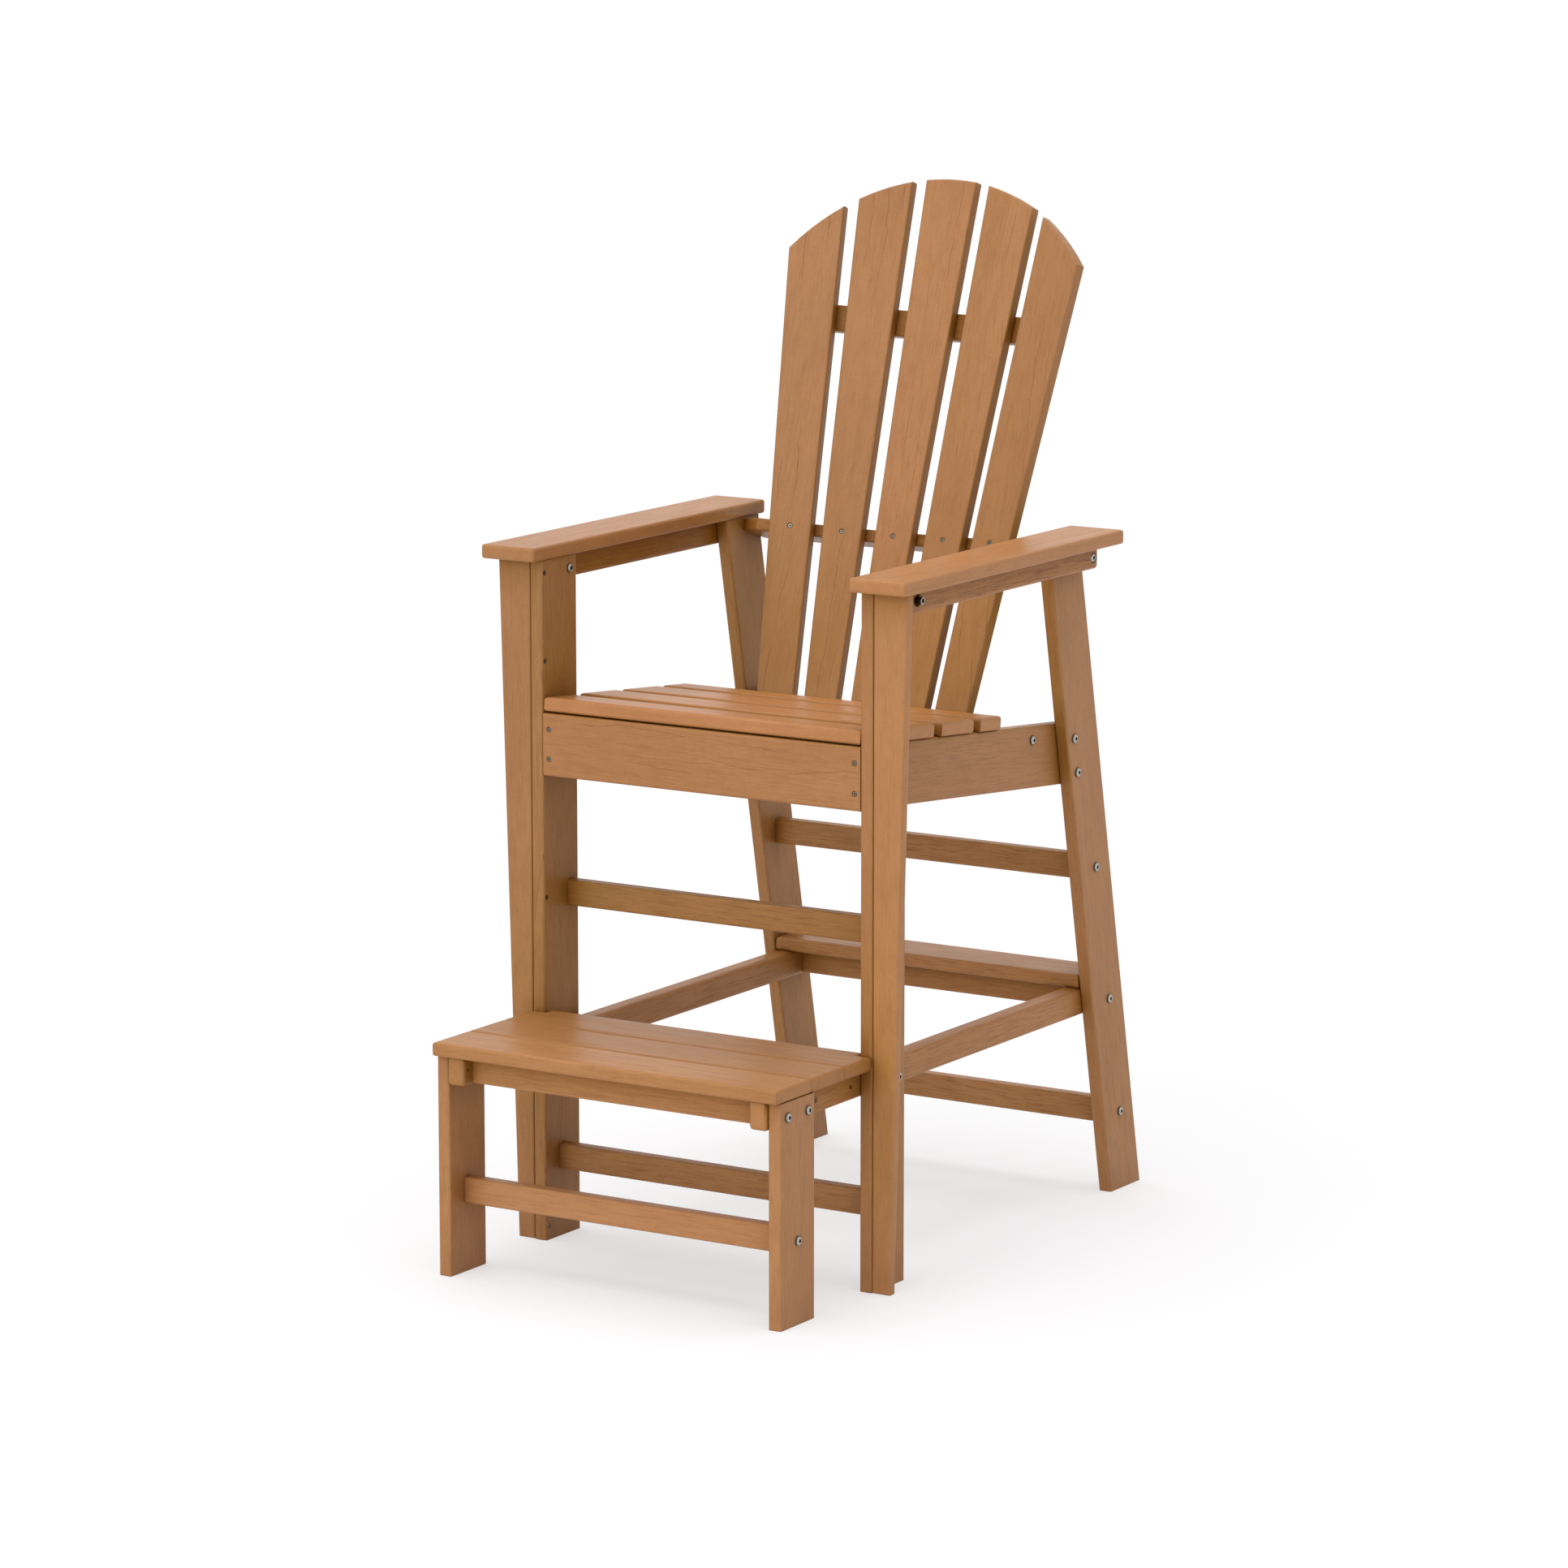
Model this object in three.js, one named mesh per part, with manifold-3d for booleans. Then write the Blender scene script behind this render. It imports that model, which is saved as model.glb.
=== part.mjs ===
import * as THREE from 'three';
import { mergeVertices } from 'three/addons/utils/BufferGeometryUtils.js';
import Module from 'manifold-3d';

const wasm = await Module();
wasm.setup();

// Tall outdoor lifeguard chair of plastic lumber, in millimetres. X runs across the chair,
// the sitter looks towards -Y and Z is up. Distances in Y are measured from the front face
// of the front legs, and the finished chair is then centred on its own depth.

// Lumber sizes and the rounding of its edges
const boardWidth = 88.9;
const boardThickness = 20.6;
const slatThickness = 19;
const heavyThickness = 28.6;
const narrowWidth = 38.1;
const wideWidth = 91.6;
const boardEdge = 3;
const slatEdge = 4;
const heavyEdge = 5.5;

// Gaps left where a piece lies on, or beside, a tilted or fitted neighbour
const tiltGap = 0.3;
const endGap = 1;
const legGap = 3;

// Side frames. The rear leg leans from its foot to the middle back rail's bolt, which it
// takes behind its own middle line.
const clearWidth = 534;
const faceFootWidth = 28.5;
const faceTopWidth = 54.9;
const faceThickness = 16.5;
const rearFootCentre = 735.5;
const rearBoltInset = 29.4;

// Arms and the rails under them; the arms' underside is at its rise above the seat rails
const armRise = 218.2;
const armFront = -27;
const armRear = 592;
const armInnerLap = 4;
const armCorner = 5.5;
const armRailOverhang = 15;
const armFrontBoltY = 70.6;
const railCorner = 6;

// Seat
const seatRailTop = 782;
const seatTilt = THREE.MathUtils.degToRad(5.07);
const seatRailBeyond = 3;
const slatStarts = [1, 102, 212, 320];
const frontSlatDepth = 72;
const rearSlatDepth = 58;
const slatOverhang = 5;

// Back. Its reference line crosses the middle slat's front face a little under the arms' height.
const backLean = THREE.MathUtils.degToRad(17.8);
const backFaceAtSeat = 459;
const backReferenceDrop = 5.2;
const slatPitch = 85.4;
const slatTurn = THREE.MathUtils.degToRad(4.4);
const backHeight = 1507;
const backTopRadius = 330;
const slatFoot = 18;
const middleRailLevel = -2.5;
const middleBoltDepth = 43.2;
const lowerRailDrop = 63.3;
const lowerBoltDepth = 38.3;
const upperRailDrop = 218;
const upperRailHeight = 39.9;
const upperRailLap = 18;
const backRailWidth = 76.2;
const railCutWidth = 31;
const railCutDepth = 15;

// Back slats from the middle one outwards: width and sideways place on the reference line, and
// the shares of the height above it by which the slat widens and leans outwards
const middleSlatWidth = 63;
const nextSlatWidth = 65.1;
const nextSlatPlace = 1.7;
const outerSlatWidth = 68.1;
const outerSlatPlace = 1.9;
const backSlats = [
  { width: middleSlatWidth, place: 0, widenShare: 0.0435, leanShare: 0 },
  { width: nextSlatWidth, place: nextSlatPlace, widenShare: 0.0405, leanShare: 0.0171 },
  { width: outerSlatWidth, place: outerSlatPlace, widenShare: 0.0348, leanShare: 0.0374 },
];

// Stretchers between the legs, the side rails that carry the step, and the ledge
const lowStretcherBottom = 101;
const highStretcherBottom = 488;
const frontHighCentre = 70.7;
const sideRailTop = 321.5;
const sideRailHeight = 40.6;
const ledgeGap = 2;
const ledgeSetback = 3;
const ledgeRailInset = 33;

// Step
const stepSlatCount = 3;
const stepFrontOverhang = 10.5;
const stepRailOverhang = 5;
const stepReach = 251.5;
const stepApronInset = 16;

// Bolts and their places: along the legs they sit off the leg's middle line by these amounts
const seatBoltOffset = -26.1;
const seatBoltDrops = [21.9, 72.7];
const highBoltOffset = 1;
const sideBoltOffset = 3.4;
const lowBoltOffset = 3.7;
const sideBoltDrop = 21.7;
const stepBoltSpacing = 52.6;
const shankDiameter = 7.9;
const shankClearance = 0.5;
const tipClearance = 1;
const headDiameter = 13.4;
const headHeight = 4.2;
const headRim = 1.3;
const socketWidth = 4.8;
const socketDepth = 2.4;
const headRecess = 2.5;
const headClearance = 1.2;
const tipCover = 5;
const endBoltGrip = 40;
const nutRecess = 6;
const nutRecessDiameter = 18;

// Fineness of curves
const cornerSteps = 4;
const edgeSteps = 3;
const roundSteps = 16;
const arcSteps = 5;
const crownPasses = 10;

// Lines that several pieces share
const quarterTurn = Math.PI / 2;
const innerX = clearWidth / 2;
const outerX = innerX + boardThickness;
const armRailX = outerX + heavyThickness;
const longRailX = innerX - heavyThickness;
const seatRailX = innerX - boardThickness;
const armUnderside = seatRailTop + armRise;
const sideRailBottom = sideRailTop - sideRailHeight;
const armRailMiddle = armUnderside - narrowWidth / 2;
const lowStretcherMiddle = lowStretcherBottom + narrowWidth / 2;
const highStretcherMiddle = highStretcherBottom + narrowWidth / 2;
const stepLegFront = stepFrontOverhang - stepReach;

const seatSlope = Math.tan(seatTilt);
const seatTopAt = (y) => seatRailTop - seatSlope * y;

// A point of the back, from its depth behind the middle slat's front face and its level
const backSlope = Math.tan(backLean);
const backReferenceZ = armUnderside - backReferenceDrop;
const backReferenceY = backFaceAtSeat + backSlope * (backReferenceZ - seatRailTop);
const backPoint = (depth, level) => ({
  y: backReferenceY + depth * Math.cos(backLean) + level * Math.sin(backLean),
  z: backReferenceZ - depth * Math.sin(backLean) + level * Math.cos(backLean),
});
const crownLevel = (backHeight - backReferenceZ) / Math.cos(backLean);
const upperRailLevel = crownLevel - upperRailDrop;
const lowerBoltZ = seatRailTop - lowerRailDrop;
const lowerRailLevel = (lowerBoltZ - backReferenceZ) / Math.cos(backLean) + lowerBoltDepth * backSlope;
const middleBolt = backPoint(middleBoltDepth, middleRailLevel);
const lowerBolt = backPoint(lowerBoltDepth, lowerRailLevel);

const rearSlope = (rearFootCentre - (middleBolt.y - rearBoltInset)) / middleBolt.z;
const rearLegAt = (z) => rearFootCentre - rearSlope * z;
const rearLevelWidth = boardWidth * Math.sqrt(1 + rearSlope ** 2);
const armRailRear = middleBolt.y + armRailOverhang;
const sideRailRear = rearLegAt(sideRailTop) + rearLevelWidth / 2 - ledgeSetback;

const chair = new THREE.Group();
const teak = { color: 0xb07e54, roughness: 0.6, metalness: 0 };
const steel = { color: 0xb9b6b0, roughness: 0.35, metalness: 1 };

// Outline through corners given as [x, y, radius]
function outline(corners) {
  const points = [];
  corners.forEach(([x, y, radius = 0], index) => {
    const corner = new THREE.Vector2(x, y);
    if (radius === 0) {
      points.push(corner);
      return;
    }
    const [beforeX, beforeY] = corners.at(index - 1);
    const [afterX, afterY] = corners[(index + 1) % corners.length];
    const toBefore = new THREE.Vector2(beforeX, beforeY).sub(corner).normalize();
    const toAfter = new THREE.Vector2(afterX, afterY).sub(corner).normalize();
    const half = Math.acos(toBefore.dot(toAfter)) / 2;
    const inward = toBefore.clone().add(toAfter).normalize();
    const centre = corner.clone().addScaledVector(inward, radius / Math.sin(half));
    const start = corner.clone().addScaledVector(toBefore, radius / Math.tan(half));
    const sense = Math.sign(toAfter.cross(toBefore));
    const sweep = sense * (Math.PI - 2 * half);
    for (let step = 0; step <= cornerSteps; step++) {
      points.push(start.clone().rotateAround(centre, (sweep * step) / cornerSteps));
    }
  });
  return new THREE.Shape(points);
}

function rectangle(width, height, radius) {
  return outline([[0, 0, radius], [width, 0, radius], [width, height, radius], [0, height, radius]]);
}

// Board cut from a flat outline, with the edges of both faces rounded
function cutBoard(shape, thickness, edge) {
  const geometry = new THREE.ExtrudeGeometry(shape, {
    depth: thickness - 2 * edge,
    bevelEnabled: true,
    bevelThickness: edge,
    bevelSize: edge,
    bevelOffset: -edge,
    bevelSegments: edgeSteps,
  });
  return geometry.translate(0, 0, edge);
}

// Length of lumber with a constant section and square-cut ends
function bar(section, length) {
  return new THREE.ExtrudeGeometry(section, { depth: length, bevelEnabled: false });
}

// An outline drawn in (y, z) gets its thickness along X
function alongX(geometry) {
  const axisX = new THREE.Vector3(1, 0, 0);
  const axisY = new THREE.Vector3(0, 1, 0);
  const axisZ = new THREE.Vector3(0, 0, 1);
  return geometry.applyMatrix4(new THREE.Matrix4().makeBasis(axisY, axisZ, axisX));
}

// An outline drawn in (x, z) gets its thickness along Y
function alongY(geometry, thickness) {
  return geometry.rotateX(quarterTurn).translate(0, thickness, 0);
}

function toSolid(geometry) {
  const plain = geometry.clone();
  plain.deleteAttribute('normal');
  plain.deleteAttribute('uv');
  const merged = mergeVertices(plain);
  return new wasm.Manifold(new wasm.Mesh({
    numProp: 3,
    vertProperties: new Float32Array(merged.attributes.position.array),
    triVerts: new Uint32Array(merged.index.array),
  }));
}

function fromSolid(solid) {
  const mesh = solid.getMesh();
  const geometry = new THREE.BufferGeometry();
  geometry.setAttribute('position', new THREE.BufferAttribute(mesh.vertProperties, 3));
  geometry.setIndex(new THREE.BufferAttribute(mesh.triVerts, 1));
  geometry.computeVertexNormals();
  return geometry;
}

function subtracted(geometry, cutters) {
  const start = toSolid(geometry);
  return fromSolid(cutters.reduce((rest, cutter) => rest.subtract(toSolid(cutter)), start));
}

// The same piece for the other side of the chair
function mirrored(geometry) {
  const flat = geometry.index ? geometry.toNonIndexed() : geometry.clone();
  flat.scale(-1, 1, 1);
  const place = flat.attributes.position;
  const keep = new THREE.Vector3();
  const swap = new THREE.Vector3();
  for (let first = 0; first < place.count; first += 3) {
    keep.fromBufferAttribute(place, first + 1);
    swap.fromBufferAttribute(place, first + 2);
    place.setXYZ(first + 1, swap.x, swap.y, swap.z);
    place.setXYZ(first + 2, keep.x, keep.y, keep.z);
  }
  flat.computeVertexNormals();
  return flat;
}

function cylinderX(diameter, fromX, toX, y, z) {
  const length = Math.abs(toX - fromX);
  const geometry = new THREE.CylinderGeometry(diameter / 2, diameter / 2, length, roundSteps);
  return geometry.rotateZ(-quarterTurn).translate((fromX + toX) / 2, y, z);
}

// Place of a seat bolt: on its line along the rear leg, at its drop below the seat rail's top
function seatBolt(drop) {
  const lineAtFloor = rearFootCentre + seatBoltOffset;
  const y = (lineAtFloor - rearSlope * (seatRailTop - drop)) / (1 - rearSlope * seatSlope);
  return { y, z: seatTopAt(y) - drop };
}

// Place of a bolt through the rear leg at a height, beside the leg's middle line
function legBolt(z, offset) {
  return { y: rearLegAt(z) + offset, z };
}

// Bolts of the right-hand side: the head sits on the plane headX and the shank runs inwards,
// or outwards where facing is -1. The left-hand side mirrors them.
const sideBoltZ = sideRailTop - sideBoltDrop;
const stepMiddle = stepLegFront + boardWidth / 2;
const seatBoltReach = 2 * boardThickness - tipCover;
const railBoltReach = boardThickness + heavyThickness - tipCover;
const stretcherReach = boardThickness + endBoltGrip;
const nutReach = boardThickness + heavyThickness - nutRecess;
const armRearReach = heavyThickness + boardThickness + endBoltGrip - headRecess;
const bolts = {
  seat_upper: { ...seatBolt(seatBoltDrops[0]), headX: outerX, reach: seatBoltReach },
  seat_lower: { ...seatBolt(seatBoltDrops[1]), headX: outerX, reach: seatBoltReach },
  stretcher_upper: {
    ...legBolt(highStretcherMiddle, highBoltOffset),
    headX: outerX,
    reach: stretcherReach,
  },
  side_rail: { ...legBolt(sideBoltZ, sideBoltOffset), headX: outerX, reach: railBoltReach },
  stretcher_lower: { ...legBolt(lowStretcherMiddle, lowBoltOffset), headX: outerX, reach: stretcherReach },
  back_lower: { ...lowerBolt, headX: innerX, reach: stretcherReach },
  arm_rear: { ...middleBolt, headX: armRailX - headRecess, reach: armRearReach },
  arm_front: { y: armFrontBoltY, z: armRailMiddle, headX: innerX, reach: nutReach, facing: -1 },
  step_front: { y: stepMiddle - stepBoltSpacing / 2, z: sideBoltZ, headX: outerX, reach: railBoltReach },
  step_rear: { y: stepMiddle + stepBoltSpacing / 2, z: sideBoltZ, headX: outerX, reach: railBoltReach },
};

// Clearance hole of a bolt, with the recess that takes its head or its nut
function bolted(name) {
  const { y, z, headX, reach, facing = 1 } = bolts[name];
  const tip = headX - facing * (reach + tipClearance);
  const hole = cylinderX(shankDiameter + 2 * shankClearance, tip, headX + facing * headHeight, y, z);
  if (name === 'arm_rear') {
    const recess = headDiameter + 2 * headClearance;
    return [hole, cylinderX(recess, headX, headX + headHeight + headRecess, y, z)];
  }
  if (name === 'arm_front') {
    return [hole, cylinderX(nutRecessDiameter, armRailX - nutRecess, armRailX + nutRecess, y, z)];
  }
  return [hole];
}

function addMesh(name, geometry, look, at, tilt, turn) {
  const mesh = new THREE.Mesh(geometry, new THREE.MeshStandardMaterial(look));
  mesh.name = name;
  mesh.position.set(...at);
  mesh.rotation.set(tilt, 0, turn, 'ZXY');
  chair.add(mesh);
}

// The holes are given in the chair's frame and turned into the piece's own frame
function drilled(geometry, at, tilt, holes) {
  if (holes.length === 0) return geometry;
  const carrier = new THREE.Object3D();
  carrier.position.set(...at);
  carrier.rotation.set(tilt, 0, 0);
  carrier.updateMatrix();
  const inverse = carrier.matrix.clone().invert();
  return subtracted(geometry, holes.map((hole) => hole.applyMatrix4(inverse)));
}

// A piece on the middle line, with the bolt holes of both its ends
function single(name, geometry, at, boltNames = [], tilt = 0) {
  const right = boltNames.flatMap((bolt) => bolted(bolt));
  const left = boltNames.flatMap((bolt) => bolted(bolt).map(mirrored));
  addMesh(name, drilled(geometry, at, tilt, [...right, ...left]), teak, at, tilt, 0);
}

// A piece of the right-hand side and its mirror image
function pair(name, geometry, at, boltNames = []) {
  const right = drilled(geometry, at, 0, boltNames.flatMap((bolt) => bolted(bolt)));
  addMesh(`${name}_right`, right, teak, at, 0, 0);
  addMesh(`${name}_left`, mirrored(right), teak, [-at[0], at[1], at[2]], 0, 0);
}

function addLegs() {
  const board = rectangle(boardThickness, boardWidth, boardEdge);
  pair('front_leg_side', bar(board, armUnderside), [innerX, 0, 0], ['arm_front']);
  pair('step_leg', bar(board, sideRailTop), [innerX, stepLegFront, 0], ['step_front', 'step_rear']);

  const taper = outline([[0, 0], [faceFootWidth, 0], [faceTopWidth, armUnderside], [0, armUnderside]]);
  pair('front_leg_face', alongY(cutBoard(taper, faceThickness, boardEdge), faceThickness), [outerX, 0, 0]);

  const rear = bar(rectangle(boardThickness, rearLevelWidth, boardEdge), armUnderside);
  const lean = new THREE.Matrix4().makeShear(0, 0, 0, 0, 0, -rearSlope);
  const through = [
    'seat_upper', 'seat_lower', 'stretcher_upper', 'side_rail', 'stretcher_lower', 'arm_rear',
  ];
  pair('rear_leg', rear.applyMatrix4(lean), [innerX, rearFootCentre - rearLevelWidth / 2, 0], through);
}

function addArms() {
  const top = outline([
    [0, 0, armCorner], [wideWidth, 0, armCorner],
    [wideWidth, armRear - armFront, armCorner], [0, armRear - armFront, armCorner],
  ]);
  pair('arm', cutBoard(top, boardThickness, slatEdge), [innerX - armInnerLap, armFront, armUnderside]);

  const length = armRailRear - faceThickness;
  const side = outline([[0, 0], [length, 0, railCorner], [length, narrowWidth], [0, narrowWidth]]);
  const rail = alongX(cutBoard(side, heavyThickness, heavyEdge));
  pair('arm_rail', rail, [outerX, faceThickness, armUnderside - narrowWidth], ['arm_front', 'arm_rear']);
}

function addSeat() {
  const railHeight = wideWidth / Math.cos(seatTilt);
  const rear = rearLegAt(seatTopAt(rearFootCentre)) + seatRailBeyond;
  const side = outline([
    [boardThickness, seatTopAt(boardThickness) - railHeight], [rear, seatTopAt(rear) - railHeight],
    [rear, seatTopAt(rear)], [boardThickness, seatTopAt(boardThickness)],
  ]);
  const rail = alongX(cutBoard(side, boardThickness, boardEdge));
  pair('seat_rail', rail, [seatRailX, 0, 0], ['seat_upper', 'seat_lower', 'back_lower']);

  const apronTop = seatTopAt(boardThickness) - tiltGap;
  const apron = alongX(bar(rectangle(boardThickness, wideWidth, boardEdge), clearWidth));
  single('seat_apron', apron, [-innerX, 0, apronTop - wideWidth]);

  const depths = [frontSlatDepth, boardWidth, boardWidth, rearSlatDepth];
  slatStarts.forEach((start, index) => {
    const half = index === 0 ? innerX - endGap : innerX + slatOverhang;
    const slat = cutBoard(rectangle(2 * half, depths[index], 0), boardThickness, slatEdge);
    slat.translate(-half, start / Math.cos(seatTilt), tiltGap);
    addMesh(`seat_slat_${index + 1}`, slat, teak, [0, 0, seatRailTop], -seatTilt, 0);
  });
}

// Distance between neighbouring slats' own middle planes at a level, measured up the back from
// the reference line: the turned slats draw apart as they rise
function pitchAt(level) {
  return slatPitch + 2 * Math.sin(backLean) * Math.tan(slatTurn / 2) * level;
}

// Where slat number (-2 to 2) crosses the reference line: each slat is turned by slatTurn more
// than its neighbour, and their faces meet in the middle of the spaces between them
function slatPlace(number) {
  const sense = Math.sign(number);
  const place = { x: 0, y: backReferenceY, turn: -number * slatTurn };
  for (let step = 0; step < Math.abs(number); step++) {
    const inner = step * slatTurn;
    const outer = (step + 1) * slatTurn;
    place.x += (sense * slatPitch * (Math.cos(inner) + Math.cos(outer))) / 2;
    place.y -= (slatPitch * (Math.sin(inner) + Math.sin(outer))) / 2;
  }
  return place;
}

// Depth behind the middle slat's front face, square to the back, of a line drawn at the distance
// behind the front face of slat number
function depthBehind(number, x, level, distance) {
  const place = slatPlace(number);
  const cosTurn = Math.cos(place.turn);
  const sinTurn = -Math.sin(place.turn);
  const across = (backReferenceY - place.y) * cosTurn + (x - place.x) * sinTurn;
  const rise = level * Math.sin(backLean) * (cosTurn - 1);
  const scale = cosTurn * Math.cos(backLean) + backSlope * Math.sin(backLean);
  return (distance / Math.cos(backLean) - across - rise) / scale;
}

// Faceted line that follows the back faces of the slats, from the left end to the right end
function backLine(level, halfLength, distance) {
  const half = backSlats.length - 1;
  const line = [[-halfLength, depthBehind(-half, -halfLength, level, distance)]];
  for (let number = -half; number < half; number++) {
    const x = (number + 1 / 2) * pitchAt(level);
    const here = depthBehind(number, x, level, distance);
    const next = depthBehind(number + 1, x, level, distance);
    line.push([x, Math.max(here, next)]);
  }
  line.push([halfLength, depthBehind(half, halfLength, level, distance)]);
  return line;
}

// Sideways place of a slat's edge, side -1 or 1, at a level
function slatEdgeAt(number, side, level) {
  const { width, place, widenShare, leanShare } = backSlats[Math.abs(number)];
  const middle = Math.sign(number) * (place + leanShare * level);
  return middle + (side * (width + widenShare * level)) / 2;
}

// Level at which the round top of the back crosses a line of a slat
function topLevel(number, lineAt) {
  let level = crownLevel;
  for (let pass = 0; pass < crownPasses; pass++) {
    const across = lineAt(level) + number * pitchAt(level);
    level = crownLevel - backTopRadius + Math.sqrt(backTopRadius ** 2 - across ** 2);
  }
  return level;
}

function addBackSlats() {
  const half = backSlats.length - 1;
  const foot = lowerRailLevel - slatFoot;
  for (let number = -half; number <= half; number++) {
    const topCorner = (side) => {
      const level = topLevel(number, (at) => slatEdgeAt(number, side, at));
      return slatEdgeAt(number, side, level);
    };
    const left = topCorner(-1);
    const right = topCorner(1);
    const corners = [-1, 1].map((side) => [slatEdgeAt(number, side, foot), foot]);
    for (let step = 0; step <= arcSteps; step++) {
      const across = right + ((left - right) * step) / arcSteps;
      corners.push([across, topLevel(number, () => across)]);
    }
    const slat = alongY(cutBoard(outline(corners), slatThickness, boardEdge), slatThickness);
    const place = slatPlace(number);
    const name = `back_slat_${number + half + 1}`;
    addMesh(name, slat, teak, [place.x, place.y, backReferenceZ], -backLean, place.turn);
  }
}

function addBackRails() {
  const at = [0, backReferenceY, backReferenceZ];
  const behind = slatThickness + tiltGap;

  const wide = (name, level, end, cut, boltName) => {
    const line = backLine(level, end - railCutWidth, behind);
    const [, front] = line[0];
    const rear = front + backRailWidth;
    const corners = [[-end, rear], [-end, front + cut], ...line, [end, front + cut], [end, rear]];
    const rail = cutBoard(outline(corners), slatThickness, boardEdge);
    rail.translate(0, 0, level - slatThickness / 2);
    single(name, rail, at, [boltName], -backLean);
  };
  wide('back_rail_lower', lowerRailLevel, seatRailX, 0, 'back_lower');
  wide('back_rail_middle', middleRailLevel, innerX, railCutDepth, 'arm_rear');

  const outer = backSlats.length - 1;
  const reach = outer * pitchAt(upperRailLevel) + slatEdgeAt(outer, 1, upperRailLevel) - upperRailLap;
  const front = backLine(upperRailLevel, reach, behind);
  const rear = backLine(upperRailLevel, reach, behind + boardThickness);
  const band = cutBoard(outline([...front, ...rear.reverse()]), upperRailHeight, boardEdge);
  band.translate(0, 0, upperRailLevel - upperRailHeight / 2);
  addMesh('back_rail_upper', band, teak, at, -backLean, 0);
}

function addStretchers() {
  const section = rectangle(boardThickness, narrowWidth, boardEdge);
  const stretcher = (name, centre, bottom, boltNames) => {
    const at = [-innerX, centre - boardThickness / 2, bottom];
    single(name, alongX(bar(section, clearWidth)), at, boltNames);
  };
  const { stretcher_upper: upper, stretcher_lower: lower } = bolts;
  stretcher('front_stretcher_lower', boardWidth / 2, lowStretcherBottom, []);
  stretcher('front_stretcher_upper', frontHighCentre, highStretcherBottom, []);
  stretcher('rear_stretcher_upper', upper.y, highStretcherBottom, ['stretcher_upper']);
  stretcher('rear_stretcher_lower', lower.y, lowStretcherBottom, ['stretcher_lower']);
  stretcher('step_stretcher', stepMiddle, lowStretcherBottom, []);

  const cross = (name, front) => {
    const at = [-longRailX, front, sideRailTop - narrowWidth];
    single(name, alongX(bar(section, 2 * longRailX)), at);
  };
  cross('ledge_cross_rail', sideRailRear - boardWidth + ledgeRailInset);
  cross('step_apron', stepLegFront + stepApronInset);
}

function addSideRails() {
  const front = stepLegFront - stepRailOverhang;
  const length = sideRailRear - front;
  const side = outline([[0, 0, railCorner], [length, 0], [length, sideRailHeight], [0, sideRailHeight]]);
  const rail = alongX(cutBoard(side, heavyThickness, heavyEdge));
  pair('side_rail', rail, [longRailX, front, sideRailBottom], ['side_rail', 'step_front', 'step_rear']);

  const ledgeWidth = clearWidth - 2 * ledgeGap;
  const ledge = cutBoard(rectangle(ledgeWidth, boardWidth, 0), boardThickness, slatEdge);
  single('ledge_board', ledge, [ledgeGap - innerX, sideRailRear - boardWidth, sideRailTop]);
}

// The slats lie edge to edge, and the last one is notched round the front legs
function addStepSlats() {
  const whole = rectangle(2 * outerX, boardWidth, 0);
  const notch = stepReach - legGap - (stepSlatCount - 1) * boardWidth;
  const inset = boardThickness + legGap;
  const fitted = outline([
    [0, 0], [2 * outerX, 0], [2 * outerX, notch], [2 * outerX - inset, notch],
    [2 * outerX - inset, boardWidth], [inset, boardWidth], [inset, notch], [0, notch],
  ]);
  for (let index = 0; index < stepSlatCount; index++) {
    const shape = index === stepSlatCount - 1 ? fitted : whole;
    const at = [-outerX, index * boardWidth - stepReach, sideRailTop];
    single(`step_slat_${index + 1}`, cutBoard(shape, boardThickness, slatEdge), at);
  }
}

// Button-head bolt with a hexagonal socket, head towards +X and the plane under it at X = 0
function boltSolid(reach) {
  const shank = shankDiameter / 2;
  const rim = headDiameter / 2;
  const shoulder = (rim + socketWidth) / 2;
  const profile = [
    [0, -reach], [shank, -reach], [shank, 0], [rim, 0], [rim, headRim],
    [(rim + shoulder) / 2, (headRim + headHeight) / 2 + headRim / 2],
    [shoulder, headHeight], [0, headHeight],
  ];
  const points = profile.map(([radius, y]) => new THREE.Vector2(radius, y));
  const body = new THREE.LatheGeometry(points, roundSteps);
  const width = socketWidth / Math.sqrt(3);
  const socket = new THREE.CylinderGeometry(width, width, 2 * socketDepth, 6);
  socket.translate(0, headHeight, 0);
  return subtracted(body, [socket]).rotateZ(-quarterTurn);
}

function addBolts() {
  Object.entries(bolts).forEach(([name, { y, z, headX, reach, facing = 1 }]) => {
    const towards = facing === 1 ? 0 : Math.PI;
    addMesh(`bolt_${name}_right`, boltSolid(reach), steel, [headX, y, z], 0, towards);
    addMesh(`bolt_${name}_left`, boltSolid(reach), steel, [-headX, y, z], 0, Math.PI - towards);
  });
}

addLegs();
addArms();
addSeat();
addBackSlats();
addBackRails();
addStretchers();
addSideRails();
addStepSlats();
addBolts();

// The chair is centred between the step's front edge and the rear feet
chair.position.y = (stepReach - rearFootCentre - rearLevelWidth / 2) / 2;
const group = new THREE.Group();
group.name = 'lifeguard_chair';
group.add(chair);

export default group;
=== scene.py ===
"""Tall outdoor lifeguard chair of brushed plastic lumber with stainless fasteners.

The CAD frame gives every board. This script adds the lumber and steel materials, the bolts,
sleeve nuts and screws with their countersinks, and the floor, light and camera. Lengths are in
metres.
"""

import math

import bmesh
import bpy
from mathutils import Matrix, Vector
from mathutils.bvhtree import BVHTree


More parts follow.
